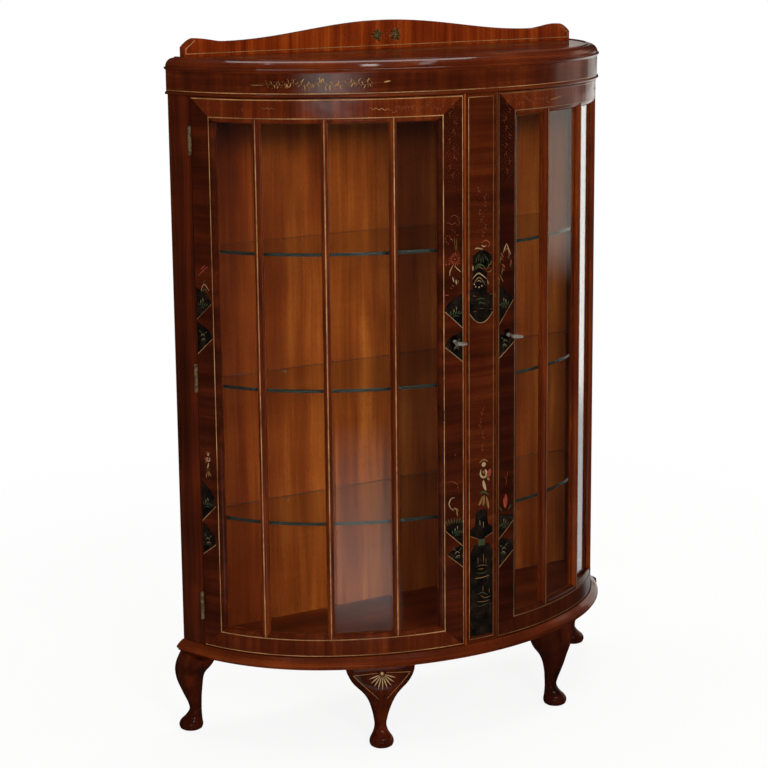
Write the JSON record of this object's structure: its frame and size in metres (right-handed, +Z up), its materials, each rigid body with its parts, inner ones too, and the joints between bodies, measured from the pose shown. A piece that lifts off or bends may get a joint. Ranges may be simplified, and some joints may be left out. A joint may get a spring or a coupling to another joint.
{
  "type": "china cabinet",
  "caption": "Bow-fronted display cabinet with two glazed doors, glass shelves, a shaped gallery and cabriole legs.",
  "frame": {"origin": "on the floor under the middle of the overall box", "axes": "+Z up, -Y out of the front, +X to the right as seen from the front"},
  "size_m": [0.931, 0.3597, 1.2705],
  "materials": {
    "mahogany": "polished flame mahogany veneer with fine light stringing",
    "mahogany_solid": "polished solid mahogany",
    "ripple_veneer": "cross-figured mahogany veneer, polished",
    "inner_wood": "satin straight-grained mahogany",
    "glass": "clear bevelled plate glass",
    "shelf_glass": "clear glass with a green edge",
    "brass": "worn polished brass",
    "steel": "bright steel wire"
  },
  "bodies": {
    "cabinet": {"back_panel": "inner_wood", "left_side_post": "mahogany_solid", "right_side_post": "mahogany_solid", "centre_pilaster": "ripple_veneer", "pilaster_backing": "mahogany_solid", "centre_stop": "mahogany_solid", "pilaster_beads": "mahogany_solid", "bottom_board": "inner_wood", "plinth_moulding": "mahogany_solid", "ceiling_board": "inner_wood", "frieze": "mahogany", "frieze_bead": "mahogany_solid", "top_board": "mahogany", "top_moulding": "mahogany_solid", "gallery_board": "mahogany", "front_left_leg": "mahogany_solid", "front_right_leg": "mahogany_solid", "back_left_leg": "mahogany_solid", "back_right_leg": "mahogany_solid", "top_shelf": "shelf_glass", "middle_shelf": "shelf_glass", "bottom_shelf": "shelf_glass", "shelf_pegs": "brass", "left_frame_hinge_leaves": "brass", "right_frame_hinge_leaves": "brass", "frame_hinge_screws": "brass"},
    "left_door": {"left_hinge_stile": "mahogany", "left_lock_stile": "mahogany", "left_top_rail": "mahogany", "left_bottom_rail": "mahogany", "left_muntins": "mahogany_solid", "left_pane_1": "glass", "left_pane_2": "glass", "left_pane_3": "glass", "left_pane_4": "glass", "left_glazing_beads": "mahogany_solid", "left_door_hinge_leaves": "brass", "left_hinge_screws": "brass", "left_lock_case": "brass", "left_escutcheon": "brass", "stile_clip": "steel"},
    "right_door": {"right_hinge_stile": "mahogany", "right_lock_stile": "mahogany", "right_top_rail": "mahogany", "right_bottom_rail": "mahogany", "right_muntins": "mahogany_solid", "right_pane_1": "glass", "right_pane_2": "glass", "right_pane_3": "glass", "right_pane_4": "glass", "right_glazing_beads": "mahogany_solid", "right_door_hinge_leaves": "brass", "right_hinge_screws": "brass", "right_lock_case": "brass", "right_escutcheon": "brass"},
    "left_key": {"left_key": "brass"},
    "left_bolt": {"left_lock_bolt": "brass"},
    "right_key": {"right_key": "brass"},
    "right_bolt": {"right_lock_bolt": "brass"}
  },
  "joints": [
    {"name": "left_door_hinge", "type": "hinge", "parent": "cabinet", "child": "left_door", "pos_m": [-0.42977, 0.11567, 0.66275], "axis": [0, 0, -1], "range_deg": [0, 120]},
    {"name": "left_key_turn", "type": "hinge", "parent": "left_door", "child": "left_key", "pos_m": [-0.05679, -0.14206, 0.728], "axis": [-0.1064, -0.9943, 0], "range_deg": [0, 90]},
    {"name": "left_bolt_slide", "type": "slide", "parent": "left_door", "child": "left_bolt", "axis": [0.9943, -0.1064, 0], "range_m": [0, 0.009]},
    {"name": "right_door_hinge", "type": "hinge", "parent": "cabinet", "child": "right_door", "pos_m": [0.42977, 0.11567, 0.66275], "axis": [0, 0, 1], "range_deg": [0, 120]},
    {"name": "right_key_turn", "type": "hinge", "parent": "right_door", "child": "right_key", "pos_m": [0.05679, -0.14206, 0.728], "axis": [0.1064, -0.9943, 0], "range_deg": [0, 90]},
    {"name": "right_bolt_slide", "type": "slide", "parent": "right_door", "child": "right_bolt", "axis": [-0.9943, -0.1064, 0], "range_m": [0, 0.009]}
  ],
  "couplings": [
    {"joint": "left_key_turn", "follows": "left_bolt_slide", "rad_per_m": 174.53},
    {"joint": "right_key_turn", "follows": "right_bolt_slide", "rad_per_m": 174.53}
  ]
}
